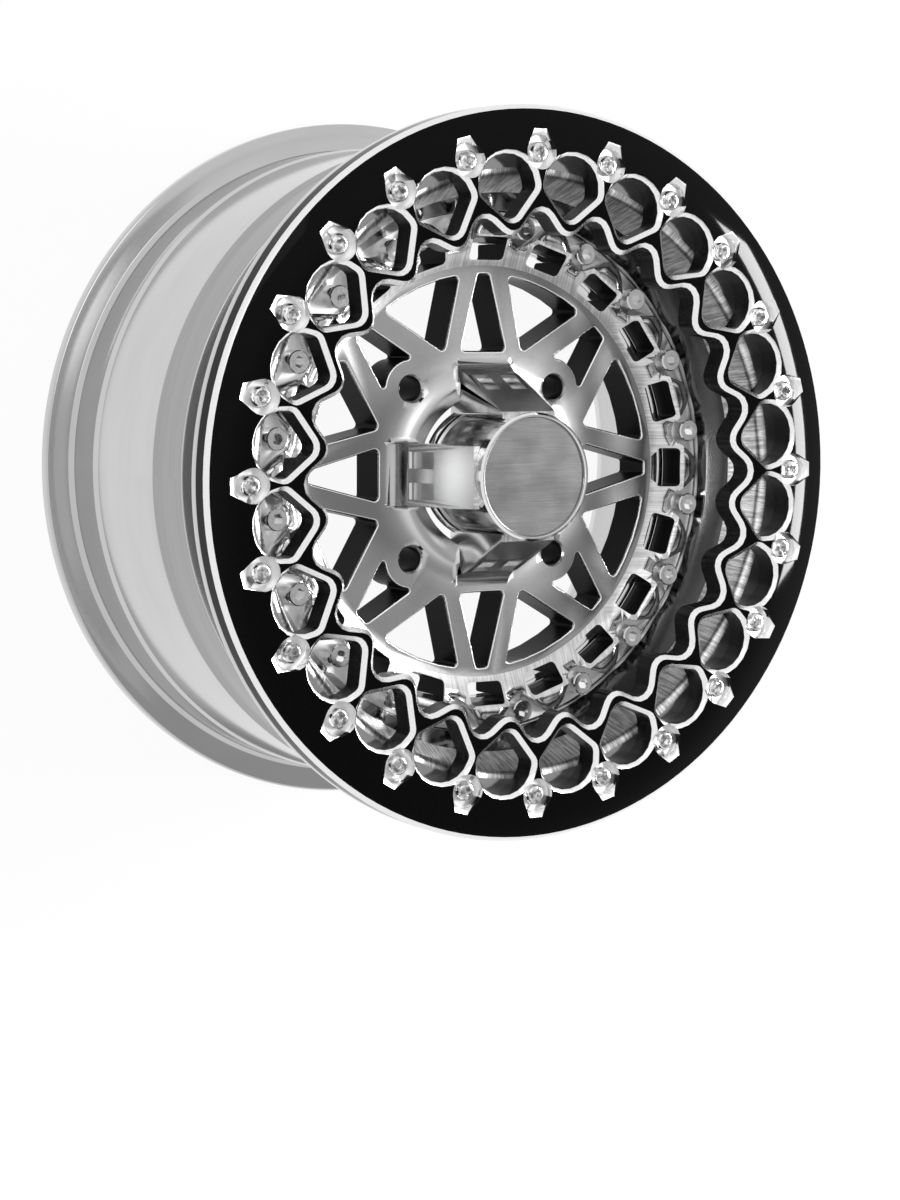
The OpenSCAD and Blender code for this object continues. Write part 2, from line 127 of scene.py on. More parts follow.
# %% [markdown]
# A Finish owns one material. It starts as a Principled shader with constant values, and its
# one method `node` adds any other node. `place` gives the three object coordinates in
# millimetres, the unit in which machining marks are easy to picture.


# %% A finish and its nodes
class Finish:
    """A node material made for one finish of the wheel."""

    def __init__(self, name, color, roughness, metallic=1.0, specular=0.5):
        self.material = bpy.data.materials.new(name)
        self.material.use_nodes = True
        self.tree = self.material.node_tree
        self.shader = self.tree.nodes["Principled BSDF"]
        self.feed(**{"Base Color": (*color, 1), "Roughness": roughness})
        self.feed(**{"Metallic": metallic, "Specular IOR Level": specular})

    def feed(self, **sockets):
        """Puts values or wires on the shader's own sockets."""
        for name, value in sockets.items():
            connect(self.tree, value, self.shader.inputs[name])

    def node(self, kind, settings=None, sockets=None, out=0):
        """Adds a node, sets it up, fills its sockets and returns one output as a wire."""
        node = self.tree.nodes.new("ShaderNode" + kind)
        for name, value in (settings or {}).items():
            setattr(node, name, value)
        for name, value in (sockets or {}).items():
            connect(self.tree, value, node.inputs[name])
        return Wire(self.tree, node.outputs[out])

    def place(self):
        """The object coordinates x, y and z in millimetres."""
        here = self.node("TexCoord", out="Object")
        split = self.tree.nodes.new("ShaderNodeSeparateXYZ")
        self.tree.links.new(here.out, split.inputs[0])
        return [Wire(self.tree, out) * 1000.0 for out in split.outputs]

    def polar(self):
        """The distance from the axis, the angle round it and the height, in millimetres."""
        x, y, z = self.place()
        return x.math("SQRT", x * x + y * y), x.math("ARCTAN2", y, x), z

    def noise(self, x, y, z, detail=3.0, rough=0.55):
        """Noise of about one unit's grain over the three given coordinates, from 0 to 1."""
        vector = self.node("CombineXYZ", sockets={"X": x, "Y": y, "Z": z})
        sockets = {"Vector": vector, "Scale": 1.0, "Detail": detail, "Roughness": rough}
        return self.node("TexNoise", sockets=sockets)

    def between(self, low_end, high_end, value):
        """Value's place between two ends, as 0 to 1 with a soft start and end."""
        settings = {"interpolation_type": "SMOOTHSTEP"}
        sockets = {"Value": value, "From Min": low_end, "From Max": high_end}
        return self.node("MapRange", settings, sockets)

    def blend(self, factor, first, second):
        """A colour that goes from first to second as the factor goes from 0 to 1."""
        colors = [(c, c, c, 1) if isinstance(c, float) else c for c in (first, second)]
        sockets = {0: factor, 6: colors[0], 7: colors[1]}
        return self.node("Mix", {"data_type": "RGBA"}, sockets, out=2)

    def bump(self, height, depth_mm, strength=1.0):
        """Feeds the normal with a relief whose full height is depth_mm."""
        sockets = {"Height": height, "Distance": depth_mm * MM, "Strength": strength}
        self.feed(Normal=self.node("Bump", sockets=sockets))


# %% [markdown]
# ## Finishes of the billet centre
# The plate is a satin grey with a fine grain. Its colour is painted paler on the flare that rises
# to the hub, a painted sheen that fades into the grey.
# The walls of its windows are painted nearly black, a painted shade for the dark inside the wheel,
# its edges are broken with a bright chamfer, and the lobes and the tower are bright from the mill,
# with its streaks along them.


# %% Satin plate
def satin_plate():
    f = Finish("satin_plate", (0.3, 0.3, 0.3), 0.25)
    x, y, z = f.place()
    cloud = f.noise(x / 55.0, y / 55.0, z / 55.0, 2.0)
    grain = f.noise(x * 2.2, y * 2.2, z * 2.2, 2.0)
    tone = f.between(0.2, 0.8, cloud * 0.7 + grain * 0.3)
    # Painted sheen: inside these radii the colour turns pale, standing in for the light that the
    # flare's curve catches.
    painted_sheen_full_r, painted_sheen_end_r = 50.0, 76.0
    flat = f.between(painted_sheen_full_r, painted_sheen_end_r, x.math("SQRT", x * x + y * y))
    shade = f.blend(flat, 0.72, f.blend(tone, 0.27, 0.35))
    f.feed(**{"Base Color": shade, "Roughness": grain * 0.1 + 0.2})
    f.bump(grain, 0.006)
    return f.material


# %% Window wall, painted dark as shade
def wall_with_painted_shade():
    # Near black and not metal: painted shade in place of the milled metal's own colour.
    f = Finish("wall_with_painted_shade", (0.01, 0.01, 0.01), 0.3, 0.0, 0.03)
    x, y, z = f.place()
    lines = f.noise(x / 9.0, y / 9.0, z * 1.6)
    f.feed(**{"Base Color": f.blend(lines, 0.002, 0.014), "Roughness": lines * 0.2 + 0.22})
    f.bump(lines, 0.015)
    return f.material


# %% Bright machined edge
def bright_edge():
    f = Finish("bright_edge", (0.8, 0.8, 0.8), 0.28)
    x, y, z = f.place()
    marks = f.noise(x * 0.9, y * 0.9, z * 0.9)
    f.feed(**{"Base Color": f.blend(marks, 0.86, 1.0), "Roughness": marks * 0.12 + 0.2})
    f.bump(marks, 0.006)
    return f.material


# %% Milled bright metal
def milled_bright():
    f = Finish("milled_bright", (0.7, 0.7, 0.7), 0.2)
    x, y, z = f.place()
    across = (x.math("ABSOLUTE", x) > y.math("ABSOLUTE", y)) * (y - x) + x
    streak = f.noise(across * 0.9, x / 40.0 + y / 40.0, z / 30.0)
    patch = f.noise(x / 9.0, y / 9.0, z / 9.0, 2.0)
    tone = f.between(0.3, 0.72, streak * 0.7 + patch * 0.3)
    f.feed(**{"Base Color": f.blend(tone, 0.5, 0.82), "Roughness": streak * 0.12 + 0.12})
    f.bump(streak, 0.01)
    return f.material


# %% [markdown]
# ## Finishes of the rim halves
# The bowl and the barrel are polished, and the bowl's polish is painted dark as shade. The shoulder
# of the inboard half keeps its lathe marks, on a tone painted darker as a reflection of the black
# ring, and the cone between the bowl and the clamp ring is brushed outwards, where the windows show
# it.


# %% Polish of the barrel and the bowl
def polished(name, dull, bright, rough):
    """Polish with a soft haze, and rings too shallow to see but for the shimmer."""
    f = Finish(name, (bright, bright, bright), rough)
    r, a, z = f.polar()
    haze = f.noise(a * 3.0, r / 20.0, z / 20.0, 2.0)
    rings = f.noise(a * 0.5, r * 0.8, z * 0.8)
    f.feed(**{"Base Color": f.blend(haze, dull, bright), "Roughness": haze * 0.05 + rough})
    f.bump(rings, 0.002)
    return f.material


def lathe_rings_painted_dark():
    """Fine rings left by the lathe, not polished out, on a tone painted darker: a painted
    reflection of the black ring.
    """
    f = Finish("lathe_rings_painted_dark", (0.2, 0.2, 0.2), 0.3)
    r, a, z = f.polar()
    rings = f.noise(a * 1.5, r * 2.2, z * 2.2, 4.0, 0.7)
    # The low base tone is a painted reflection of the black ring above the shoulder. The rings are
    # the real lathe marks.
    f.feed(**{"Base Color": f.blend(rings, 0.24, 0.5), "Roughness": rings * 0.14 + 0.24})
    f.bump(rings, 0.01)
    return f.material


# %% Brushed cone
def brushed_cone():
    f = Finish("brushed_cone", (0.5, 0.5, 0.5), 0.3)
    r, a, z = f.polar()
    outwards = f.noise(a * 110.0, r / 16.0, z / 16.0, 4.0, 0.7)
    patch = f.noise(a * 16.0, r / 10.0, z / 10.0)
    tone = f.between(0.38, 0.62, outwards * 0.8 + patch * 0.2)
    f.feed(**{"Base Color": f.blend(tone, 0.4, 1.0), "Roughness": outwards * 0.2 + 0.25})
    f.bump(outwards, 0.02)
    return f.material


# %% [markdown]
# ## Finishes of the ring, the fasteners and the cap
# The ring is anodised a deep, smooth black, then its pockets and edges are cut again, so they
# are bare metal. The bolts are plated steel with small dimples, the cap's disc is brushed.


# %% Black anodising
def anodised_black():
    f = Finish("anodised_black", (0.001, 0.001, 0.001), 0.12, 0.0, 0.08)
    x, y, z = f.place()
    grain = f.noise(x * 0.5, y * 0.5, z * 0.5)
    f.feed(**{"Base Color": f.blend(grain, 0.0, 0.002), "Roughness": grain * 0.02 + 0.04})
    return f.material


def ring_wall():
    f = Finish("ring_wall", (0.01, 0.01, 0.01), 0.25, 0.0, 0.1)
    x, y, z = f.place()
    marks = f.noise(x / 5.0, y / 5.0, z / 14.0)
    f.feed(**{"Base Color": f.blend(marks, 0.002, 0.012), "Roughness": marks * 0.2 + 0.15})
    return f.material


# %% Satin metal of the ring's pockets
def pocket_satin():
    f = Finish("pocket_satin", (0.62, 0.62, 0.62), 0.4)
    x, y, z = f.place()
    cloud = f.noise(x / 4.0, y / 4.0, z / 4.0, 2.0)
    f.feed(**{"Base Color": f.blend(cloud, 0.78, 0.96), "Roughness": cloud * 0.14 + 0.28})
    f.bump(cloud, 0.05)
    return f.material


# %% Plated steel of the bolts and screws
def plated_steel():
    f = Finish("plated_steel", (0.6, 0.6, 0.6), 0.2)
    x, y, z = f.place()
    dimples = f.noise(x * 0.36, y * 0.36, z * 0.36, 1.0)
    tone = f.between(0.36, 0.6, dimples)
    f.feed(**{"Base Color": f.blend(tone, 0.32, 0.8), "Roughness": dimples * 0.2 + 0.08})
    f.bump(dimples, 0.5)
    return f.material


def bright_steel():
    f = Finish("bright_steel", (0.8, 0.8, 0.8), 0.15)
    x, y, z = f.place()
    marks = f.noise(x * 0.6, y * 0.6, z * 1.4)
    f.feed(**{"Base Color": f.blend(marks, 0.6, 0.86), "Roughness": marks * 0.16 + 0.08})
    f.bump(marks, 0.01)
    return f.material


# %% Brushed disc of the cap
def brushed_disc():
    f = Finish("brushed_disc", (0.3, 0.3, 0.3), 0.32)
    x, y, z = f.place()
    brush = f.noise(x / 24.0, y * 3.4, z, 4.0, 0.7)
    cloud = f.noise(x / 30.0, y / 30.0, z / 30.0, 2.0)
    tone = f.between(0.25, 0.75, brush * 0.2 + cloud * 0.8)
    f.feed(**{"Base Color": f.blend(tone, 0.16, 0.3), "Roughness": brush * 0.12 + 0.2})
    f.bump(brush, 0.003)
    return f.material


# %% Rubber, plastic and brass
def soft_black(name, rough):
    f = Finish(name, (0.02, 0.02, 0.02), rough, 0.0)
    x, y, z = f.place()
    grain = f.noise(x * 1.5, y * 1.5, z * 1.5)
    f.feed(**{"Base Color": f.blend(grain, 0.012, 0.03), "Roughness": grain * 0.2 + rough - 0.1})
    f.bump(grain, 0.02)
    return f.material


def turned_brass():
    f = Finish("turned_brass", (0.72, 0.56, 0.28), 0.25)
    x, y, z = f.place()
    rings = f.noise(x / 6.0, y / 6.0, z * 2.5)
    dull, bright = (0.5, 0.36, 0.16, 1), (0.82, 0.66, 0.36, 1)
    f.feed(**{"Base Color": f.blend(rings, dull, bright), "Roughness": rings * 0.2 + 0.15})
    return f.material


SATIN, WALL, EDGE, MILLED = satin_plate(), wall_with_painted_shade(), bright_edge(), milled_bright()
POLISHED = polished("barrel_polish", 0.52, 0.62, 0.1)
# The bowl's colour is painted nearly black: painted shade and a painted dark reflection, not the
# polished metal's own tone.
BOWL_PAINTED_DARK = polished("bowl_polish_painted_dark", 0.08, 0.16, 0.08)
CAP_POLISH = polished("cap_polish", 0.8, 0.92, 0.05)
LEDGE = polished("ledge_satin", 0.9, 1.0, 0.34)
BAND, CONE, POCKET = lathe_rings_painted_dark(), brushed_cone(), pocket_satin()
BLACK, RING_WALL, PLATED, STEEL = anodised_black(), ring_wall(), plated_steel(), bright_steel()
DISC, BRASS = brushed_disc(), turned_brass()
RUBBER, PLASTIC = soft_black("black_rubber", 0.7), soft_black("black_plastic", 0.45)
print("finishes:", len(bpy.data.materials))

# %% [markdown]
# ## Turned pieces
# A rim half is turned on a lathe, so its surface is one profile carried round the axis. The
# profile's corners are rounded first, because a real edge always catches a thin line of light.


# %% A profile with round corners
def rounded(corners, steps=5):
    """Each corner (r, z, radius) becomes an arc that touches both its sides."""
    points = np.array([corner[:2] for corner in corners])
    before, after = np.roll(points, 1, axis=0), np.roll(points, -1, axis=0)
    u = (before - points) / np.linalg.norm(before - points, axis=1)[:, None]
    v = (after - points) / np.linalg.norm(after - points, axis=1)[:, None]
    half = np.arccos(np.clip((u * v).sum(1), -1, 1)) / 2
    radius = np.array([corner[2] for corner in corners])
    reach = (radius / np.tan(half))[:, None]
    way = (u + v) / np.linalg.norm(u + v, axis=1)[:, None]
    centre = points + way * (radius / np.sin(half))[:, None]
    p, q = points + u * reach - centre, points + v * reach - centre
    start = np.arctan2(p[:, 1], p[:, 0])
    sweep = (np.arctan2(q[:, 1], q[:, 0]) - start + np.pi) % (2 * np.pi) - np.pi
    angle = start[:, None] + sweep[:, None] * np.linspace(0, 1, steps + 1)
    arcs = centre[:, None] + radius[:, None, None] * np.stack([np.cos(angle), np.sin(angle)], -1)
    return arcs.reshape(-1, 2)


# %% A piece from a grid of points
def piece(name, points, faces, slots, index=0, sharp=30.0):
    """A mesh piece at the origin, smooth but for edges that bend more than sharp degrees."""
    mesh = bpy.data.meshes.new(name)
    mesh.from_pydata(points, [], faces)
    for material in slots:
        mesh.materials.append(material)
    count = len(mesh.polygons)
    mesh.polygons.foreach_set("material_index", np.broadcast_to(index, count).astype(np.int32))
    mesh.shade_smooth()
    mesh.set_sharp_from_angle(angle=math.radians(sharp))
    mesh.update()
    obj = bpy.data.objects.new(name, mesh)
    bpy.context.scene.collection.objects.link(obj)
    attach(obj, "root")
    return obj


def revolved(name, corners, slots, zone, steps=360):
    """Point (r, z) of the rounded profile goes round the axis as (r cos a, r sin a, z)."""
    profile = rounded(corners)
    r, z = profile[:, 0], profile[:, 1]
    a = np.arange(steps) * 2 * np.pi / steps
    grid = np.stack([np.outer(np.cos(a), r), np.outer(np.sin(a), r), np.tile(z, (steps, 1))], -1)
    n, m = grid.shape[:2]
    i, j = np.meshgrid(np.arange(n), np.arange(m), indexing="ij")
    following, beside = (i + 1) % n, (j + 1) % m
    faces = np.stack([i * m + j, following * m + j, following * m + beside, i * m + beside], -1)
    area = 0.5 * np.sum(r * np.roll(z, -1) - np.roll(r, -1) * z)
    if area < 0:
        faces = faces[..., ::-1]
    middle = (profile + np.roll(profile, -1, axis=0)) / 2
    index = np.tile(zone(middle[:, 0], middle[:, 1]), n)
    print(name, n * m, "faces")
    return piece(name, grid.reshape(-1, 3) * MM, faces.reshape(-1, 4), slots, index)


# %% [markdown]
# The inboard half carries the flange that the wheel stands on, the bead seat with its safety
# hump, the long barrel and a shoulder. Its wall folds in at the top to the clamp flange.

# %% Inboard rim half
BORE_R, WALL_T = 131.5, 5.5
BARREL_R, SHOULDER_R = BEAD_R - 0.8, BEAD_R - 3
INSIDE_R, SHOULDER_Z = BARREL_R - WALL_T, JOINT_Z - 26
HUMP_Z, HUMP_R = 35.0, BARREL_R + 1.2
FLANGE_T = 7.0
inner_profile = [
    (FLANGE_R, 0, 1.2), (FLANGE_R, FLANGE_T, 1.6), (FLANGE_R - 7, FLANGE_T + 0.6, 2),
    (BEAD_R + 3.1, FLANGE_T + 1.2, 1.2), (BEAD_R + 0.5, FLANGE_T + 3.5, 2),
    (BARREL_R, HUMP_Z - 5.5, 2), (HUMP_R, HUMP_Z - 2, 2), (HUMP_R, HUMP_Z + 2, 2),
    (BARREL_R, HUMP_Z + 6, 2), (BARREL_R, SHOULDER_Z - 6, 3), (SHOULDER_R, SHOULDER_Z, 3),
    (SHOULDER_R, JOINT_Z, 1.2), (BORE_R, JOINT_Z, 0.4), (BORE_R, BACK_Z, 0.4),
    (SHOULDER_R - WALL_T, BACK_Z, 4), (SHOULDER_R - WALL_T, SHOULDER_Z - 6, 6),
    (INSIDE_R, SHOULDER_Z - 14, 6), (INSIDE_R, FLANGE_T + 4, 4), (INSIDE_R + 4, 0, 2)]


def inner_zone(r, z):
    """0 polished, 1 the shoulder next to the joint, which keeps its lathe marks and is painted
    darker as a reflection of the black ring.
    """
    return ((z > SHOULDER_Z - 3.2) & (z < JOINT_Z - 0.5) & (r > SHOULDER_R - 1)).astype(int)


inner_half = revolved("inner_rim_half_finish", inner_profile, [POLISHED, BAND], inner_zone)
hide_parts("inner_rim_half")

# %% [markdown]
# The outboard half is the part that the dish shows: a flat clamp flange, the polished bowl, a
# brushed cone, and the shelf that carries the clamp ring. Its outside has the outer bead seat
# and a deep well, into which a tyre's bead drops while it is fitted.

# %% Outboard rim half
LIP_R, LIP_Z = 159.0, SEAT_Z + 28.8
SHELF_R, CLAMP_R = 168.0, BOWL_R + 12.2
outer_profile = [
    (BORE_R, JOINT_Z, 0.4), (BORE_R, SEAT_Z, 0.4), (BOWL_R, SEAT_Z, 0.6), (BOWL_R, FLOOR_Z + 3, 4),
    (LIP_R, LIP_Z, 2), (SHELF_R, RING_Z, 6), (RING_R, RING_Z, 0.6), (RING_R, RING_Z - 5, 1),
    (BEAD_R + 3, RING_Z - 5.6, 1.2), (BEAD_R, RING_Z - 8.5, 2), (BARREL_R, RING_Z - 23, 1.5),
    (SHELF_R, LIP_Z - 6, 4), (LIP_R - 0.5, SEAT_Z + 4, 3), (CLAMP_R, SEAT_Z, 0.5),
    (CLAMP_R, JOINT_Z, 0.5)]


def outer_zone(r, z):
    """0 polished outside, 1 polish in the bowl, painted dark as shade, 2 brushed cone between lip
    and shelf.
    """
    cone = (z > LIP_Z) & (z - LIP_Z > (r - LIP_R - 3) * 2)
    bowl = (r > BOWL_R + 0.2) & (z > SEAT_Z - 0.2) & (z - SEAT_Z + 0.2 > (r - LIP_R + 1) * 2)
    return np.where(cone, 2, np.where(bowl, 1, 0))


outer_half = revolved("outer_rim_half_finish", outer_profile, [POLISHED, BOWL_PAINTED_DARK, CONE], outer_zone)
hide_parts("outer_rim_half")

# %% [markdown]
# ## Milled pieces
# A milled piece's outline is too rich for one formula, and the solid model has it exactly. So
# a copy of the solid's triangles is merged into one skin, its flat parts are joined into whole
# faces, and each face takes a finish by where it lies and which way it looks. A narrow bevel
# then breaks the edges with a bright chamfer.


# %% A skin from a solid
def skin(node, name, slots, zone, chamfer=0.0, edge_slot=0, sharp=28.0, edges=None, bend=None):
    """A merged copy of a node, with a finish for each face and a bevel on the chosen edges."""
    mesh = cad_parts[node].data.copy()
    mesh.name = name
    net = bmesh.new()
    net.from_mesh(mesh)
    bmesh.ops.remove_doubles(net, verts=net.verts, dist=2e-6)
    bmesh.ops.dissolve_degenerate(net, edges=net.edges, dist=2e-6)
    bmesh.ops.dissolve_limit(net, angle_limit=math.radians(0.05), verts=net.verts, edges=net.edges)
    if edges:
        weight = net.edges.layers.float.new("bevel_weight_edge")
        for edge in net.edges:
            if len(edge.link_faces) == 2:
                edge[weight] = edges(*[f.normal.z for f in edge.link_faces], edge.verts[0].co / MM)
    net.to_mesh(mesh)
    net.free()
    count = len(mesh.polygons)
    centre, normal = np.empty(3 * count), np.empty(3 * count)
    mesh.polygons.foreach_get("center", centre)
    mesh.polygons.foreach_get("normal", normal)
    mesh.materials.clear()
    for material in slots:
        mesh.materials.append(material)
    index = zone(centre.reshape(-1, 3) / MM, normal.reshape(-1, 3))
    mesh.polygons.foreach_set("material_index", np.broadcast_to(index, count).astype(np.int32))
    mesh.shade_smooth()
    mesh.set_sharp_from_angle(angle=math.radians(sharp))
    if bend:
        bend(mesh)
    obj = bpy.data.objects.new(name, mesh)
    bpy.context.scene.collection.objects.link(obj)
    if chamfer:
        bevel = obj.modifiers.new("broken_edges", "BEVEL")
        bevel.width = chamfer * MM
        bevel.segments = 1 if edges else 2
        bevel.limit_method = "WEIGHT" if edges else "ANGLE"
        bevel.angle_limit = math.radians(sharp + 4)
        bevel.use_clamp_overlap = not edges
        bevel.material = edge_slot
        bevel.harden_normals = True
    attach(obj, "root")
    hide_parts(node)
    print(name, count, "faces")
    return obj


# %% [markdown]
# The centre's faces fall into five groups: the satin plate with its flare, the walls of the
# windows painted dark as shade, the thin bright edges, the bright lobes and tower, and the pale
# ledge under the screws. A face is a wall where its normal is nearly level, and flat where it
# points up.


# %% Billet centre
LOBE_STEP = math.radians(18)
LEVEL, UPRIGHT = 0.3, 0.98
BELT_WINDOW = (121.0, 134.8, 11.8)


def centre_zone(c, n):
    """0 satin plate and flare, 1 wall painted dark as shade, 2 bright edge, 3 milled bright, 4 pale
    ledge.
    """
    r, z, up = np.hypot(c[:, 0], c[:, 1]), c[:, 2], n[:, 2]
    steep, flat = np.abs(up) < LEVEL, up > UPRIGHT
    plate, ledge = flat & (np.abs(z - HUB_Z) < 0.3), flat & (np.abs(z - FLOOR_Z) < 0.3)
    angle = np.arctan2(c[:, 1], c[:, 0])
    turn = angle - np.round(angle / LOBE_STEP) * LOBE_STEP
    inner, outer, half = BELT_WINDOW
    along, across = r * np.cos(turn), np.abs(r * np.sin(turn))
    belt = (across < half) & (along > inner) & (along < outer)
    window = (r > 58) & (r < 133) & (z < HUB_Z + 1)
    throat = (r > 30) & (r < 58) & (z < HUB_Z + 2)
    flare = (up > LEVEL) & (r > 40) & (r < 75)
    bright = (z > HUB_Z + 0.4) | (r < 66)
    kinds = [(plate, 0), (ledge, 4), (steep & (window | belt | throat), 1), (flare, 0), (bright, 3)]
    return np.select([k[0] for k in kinds], [k[1] for k in kinds], 0)


def plate_edges(first, second, point):
    """1 for an edge between the plate's flat top and a wall outside the flare, else 0."""
    top = abs(point.z - HUB_Z) < 0.05 and math.hypot(point.x, point.y) > 60
    return float(top and max(first, second) > 0.97 and abs(min(first, second)) < LEVEL)


skin("wheel_centre", "wheel_centre_finish", [SATIN, WALL, EDGE, MILLED, LEDGE], centre_zone,
     chamfer=1.0, edge_slot=2, edges=plate_edges)


# %% [markdown]
# The ring's bolt pockets are drops: a round end about the bolt that narrows outwards to a tip.
# A face belongs to a pocket where it lies inside that outline. The black face is crowned, and
# its facets get the arc's own normals, so that a long reflection runs along it unbroken.


# %% Clamp ring
BOLT_STEP = math.radians(15)
POCKET_R, POCKET_TIP_R, POCKET_REACH, POCKET_DEPTH = 9.6, 3.9, 12.4, 5.0
CROWN_FROM, CROWN_WIDTH, CROWN_DROP = 172.0, 31.5, 4.5


def ring_zone(c, n):
    """0 black face, 1 dark wall, 2 bright edge, 3 bolt pocket, whose floor slopes up outwards."""
    r, angle, depth = np.hypot(c[:, 0], c[:, 1]), np.arctan2(c[:, 1], c[:, 0]), FACE_Z - c[:, 2]
    outwards = (c[:, 0] * n[:, 0] + c[:, 1] * n[:, 1]) / r
    turn = angle - np.round(angle / BOLT_STEP) * BOLT_STEP
    u, w = r * np.cos(turn) - BOLT_R, r * np.sin(turn)
    along = np.clip(u / POCKET_REACH, 0, 1)
    width = POCKET_R + (POCKET_TIP_R - POCKET_R) * along
    off = np.hypot(u - POCKET_REACH * along, w) - width
    steep = np.abs(n[:, 2]) < LEVEL
    floor = (outwards < -0.1) | (depth > POCKET_DEPTH - 0.1)
    pocket = (off < 0.35) & (depth < POCKET_DEPTH + 0.1) & (steep | floor)
    chamfer = (n[:, 2] > 0.45) & (n[:, 2] < 0.85)
    return np.select([pocket, chamfer, steep & (r < RING_R - 2)], [3, 2, 1], 0)


def crown_normals(mesh):
    """Gives the crown's faces the normals of its arc, so that they shine as one surface."""
    corners, faces = len(mesh.loops), len(mesh.polygons)
    normal, place = np.empty(3 * corners), np.empty(3 * len(mesh.vertices))
    vertex, first, count = (np.empty(n, dtype=np.int32) for n in (corners, faces, faces))
    mesh.corner_normals.foreach_get("vector", normal)
    mesh.vertices.foreach_get("co", place)
    mesh.loops.foreach_get("vertex_index", vertex)
    mesh.polygons.foreach_get("loop_start", first)
    mesh.polygons.foreach_get("loop_total", count)
    normal, at = normal.reshape(-1, 3), place.reshape(-1, 3)[vertex] / MM
    r = np.hypot(at[:, 0], at[:, 1])
    way = np.maximum(r - CROWN_FROM, 0) / CROWN_WIDTH
    on_crown = np.abs(at[:, 2] - FACE_Z + CROWN_DROP * way ** 2) < 0.12
    chosen = np.repeat(np.logical_and.reduceat(on_crown, first), count)
    lean = 2 * CROWN_DROP * way / CROWN_WIDTH
    arc = np.stack([lean * at[:, 0] / r, lean * at[:, 1] / r, np.ones(corners)], -1)
    arc /= np.linalg.norm(arc, axis=1)[:, None]
    normal[chosen] = arc[chosen]
    mesh.normals_split_custom_set(normal.tolist())
    print("crown corners:", chosen.sum(), "of", corners)


skin("beadlock_ring", "beadlock_ring_finish", [BLACK, RING_WALL, EDGE, POCKET], ring_zone,
     bend=crown_normals)


# %% [markdown]
# ## Fasteners, cap and valve
# These are small, so each keeps its solid's own form, merged and smoothed, with one finish.


# %% One finish for a whole solid
def whole(c, n):
    """Every face takes the first finish."""
    return 0


for node, finish, chamfer in [
    ("beadlock_bolts", PLATED, 0), ("assembly_screws", STEEL, 0), ("assembly_washers", PLATED, 0),
    ("assembly_nuts", PLATED, 0), ("cap_body", CAP_POLISH, 0.3), ("cap_bezel", CAP_POLISH, 0),
    ("cap_badge", DISC, 0.25), ("valve_stem", STEEL, 0.2), ("valve_grommet", RUBBER, 0.3),
    ("valve_washer", PLATED, 0), ("valve_nut", PLATED, 0.2), ("valve_cap", PLASTIC, 0.4),
    ("valve_core", BRASS, 0), ("beadlock_inserts", BRASS, 0), ("rim_seal", RUBBER, 0),
    ("cap_seal", RUBBER, 0)]:
    skin(node, node + "_finish", [finish], whole, chamfer)

# %% [markdown]
# ## Floor, light and camera
# The floor is plain and pale. To the camera and in reflections it is nearly white, and it
# keeps a soft shadow. The sky is a plain soft studio with one wide, softly edged patch that is
# darker, so that metal has something to show. One long lamp on the right draws the pale band
# along the ring's crown.

# %% Floor
FLOOR_R = 9.0
floor_mesh = bpy.data.meshes.new("floor")
corner = np.arange(64) * 2 * np.pi / 64
rim = np.stack([FLOOR_R * np.cos(corner), FLOOR_R * np.sin(corner), corner * 0 - 0.0002], -1)
floor_mesh.from_pydata(rim, [], [list(range(64))])
floor = bpy.data.objects.new("floor", floor_mesh)
bpy.context.scene.collection.objects.link(floor)
paper = Finish("floor_paper", (0.8, 0.8, 0.8), 0.9, 0.0)
tree = paper.tree
glow = tree.nodes.new("ShaderNodeEmission")
glow.inputs["Color"].default_value = (1, 1, 1, 1)
rays = tree.nodes.new("ShaderNodeLightPath")
PALE = 0.93
seen = Wire(tree, rays.outputs["Is Camera Ray"]) * PALE
mirrored = Wire(tree, rays.outputs["Is Glossy Ray"])
mirrored = mirrored + Wire(tree, rays.outputs["Is Transmission Ray"])
mix = tree.nodes.new("ShaderNodeMixShader")
connect(tree, seen + mirrored, mix.inputs[0])
tree.links.new(paper.shader.outputs[0], mix.inputs[1])
tree.links.new(glow.outputs[0], mix.inputs[2])
tree.links.new(mix.outputs[0], tree.nodes["Material Output"].inputs["Surface"])
floor_mesh.materials.append(paper.material)

# %% Sky
world = bpy.data.worlds.new("studio")
bpy.context.scene.world = world
world.use_nodes = True
sky = world.node_tree
DARK_WAY, DARK_CORE, DARK_EDGE = (0.42, -0.3, 0.857), math.radians(13), math.radians(33)
up = sky.nodes.new("ShaderNodeTexCoord")
split = sky.nodes.new("ShaderNodeSeparateXYZ")
sky.links.new(up.outputs["Generated"], split.inputs[0])
x, y, z = (Wire(sky, out) for out in split.outputs)
ease = sky.nodes.new("ShaderNodeMapRange")
ease.interpolation_type = "SMOOTHSTEP"
connect(sky, x * DARK_WAY[0] + y * DARK_WAY[1] + z * DARK_WAY[2], ease.inputs["Value"])
for socket, value in [("From Min", math.cos(DARK_EDGE)), ("From Max", math.cos(DARK_CORE)),
                      ("To Min", 0.88), ("To Max", 0.42)]:
    ease.inputs[socket].default_value = value
sky.links.new(ease.outputs[0], sky.nodes["Background"].inputs["Color"])


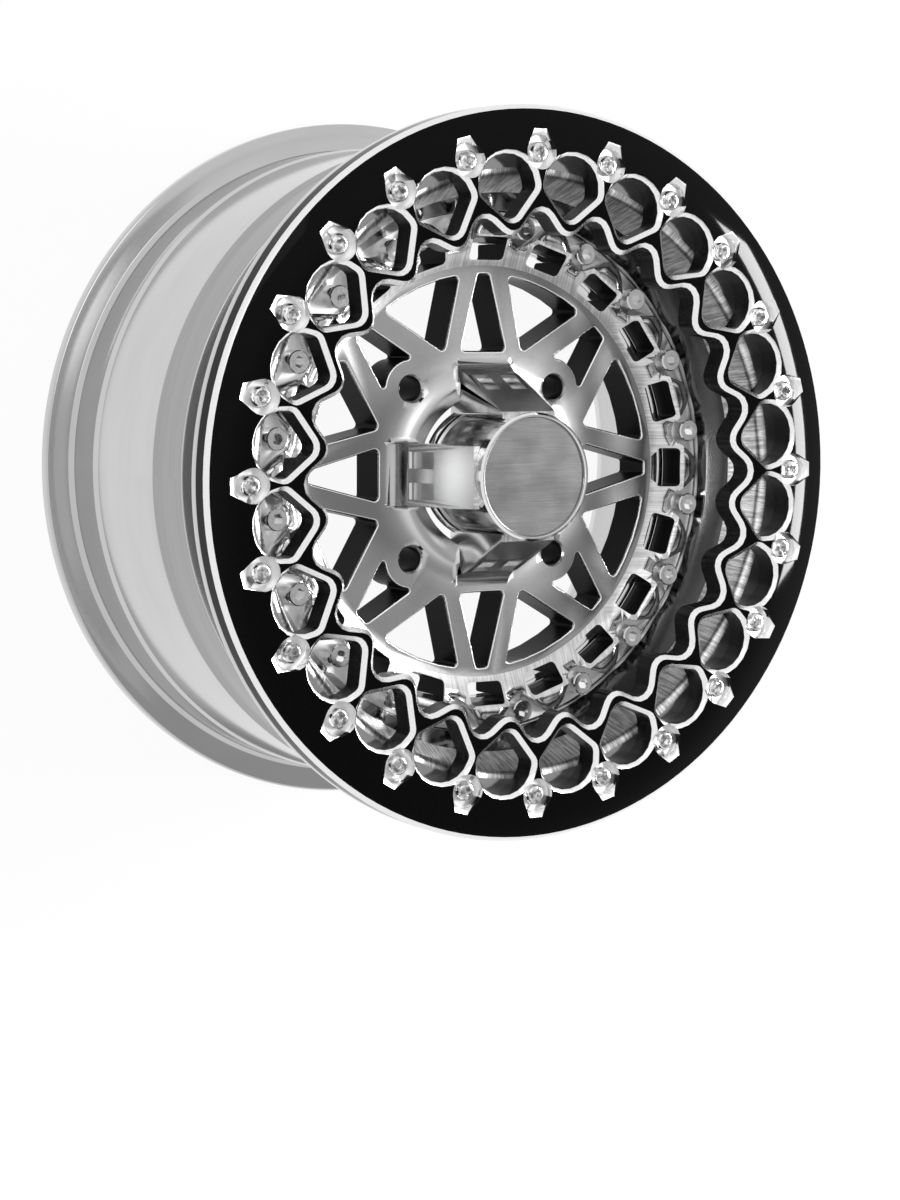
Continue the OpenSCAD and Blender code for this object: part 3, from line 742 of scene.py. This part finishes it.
# %% Lamps
def lamp(name, azimuth, elevation, distance, size, radiance):
    """A rectangle lamp that faces the wheel and shines with the given radiance."""
    light = bpy.data.lights.new(name, "AREA")
    light.shape = "RECTANGLE"
    light.size, light.size_y = size
    light.energy = radiance * math.pi * size[0] * size[1]
    obj = bpy.data.objects.new(name, light)
    a, e = math.radians(azimuth), math.radians(elevation)
    way = np.array([math.cos(e) * math.cos(a), math.cos(e) * math.sin(a), math.sin(e)])
    side = np.array([-math.sin(a), math.cos(a), 0])
    stand = np.eye(4)
    place = distance * way + [0, 0, HUB_Z * MM]
    stand[:3] = np.stack([side, np.cross(way, side), way, place], -1)
    obj.matrix_world = Matrix(stand.tolist())
    bpy.context.scene.collection.objects.link(obj)


lamp("band_lamp", 3.5, 35.5, 2.0, (0.88, 0.26), 70.0)
lamp("key_lamp", 120, 62, 2.2, (1.2, 0.9), 1.0)

# %% [markdown]
# The camera stands where the photograph was taken from: 1.6 m away, 32 degrees to the left of
# the axis and a few degrees above it. The wheel lies on its inboard edge here, so the camera
# looks down on it. Its turn is written as three rotations, and SHIFT frames the wheel.

# %% Camera
TILT, TURN, ROLL = 0.0999, 0.5502, -0.0036
SHIFT_X, SHIFT_Y, DISTANCE = 19.019 * MM, 73.679 * MM, 1590.46 * MM
FOCAL_PX, IMAGE_H, SENSOR = 2758.57, 1200, 36.0
cx, sx, cy, sy, cz, sz = (f(a) for a in (TILT, TURN, ROLL) for f in (math.cos, math.sin))
about_x = np.array([[1, 0, 0], [0, cx, -sx], [0, sx, cx]])
about_y = np.array([[cy, 0, sy], [0, 1, 0], [-sy, 0, cy]])
about_z = np.array([[cz, -sz, 0], [sz, cz, 0], [0, 0, 1]])
view = about_z @ about_x @ about_y
eye = view.T @ np.array([-SHIFT_X, -SHIFT_Y, DISTANCE]) + np.array([0, 0, HUB_Z * MM])
camera_data = bpy.data.cameras.new("camera")
camera_data.sensor_fit = "VERTICAL"
camera_data.sensor_height = SENSOR
camera_data.lens = FOCAL_PX / IMAGE_H * SENSOR
camera_data.clip_start = 0.01
camera = bpy.data.objects.new("camera", camera_data)
pose = np.eye(4)
pose[:3, :3], pose[:3, 3] = view.T, eye
camera.matrix_world = Matrix(pose.tolist())
bpy.context.scene.collection.objects.link(camera)
bpy.context.scene.camera = camera
bpy.context.scene.view_settings.view_transform = "Standard"
print("camera at", eye)
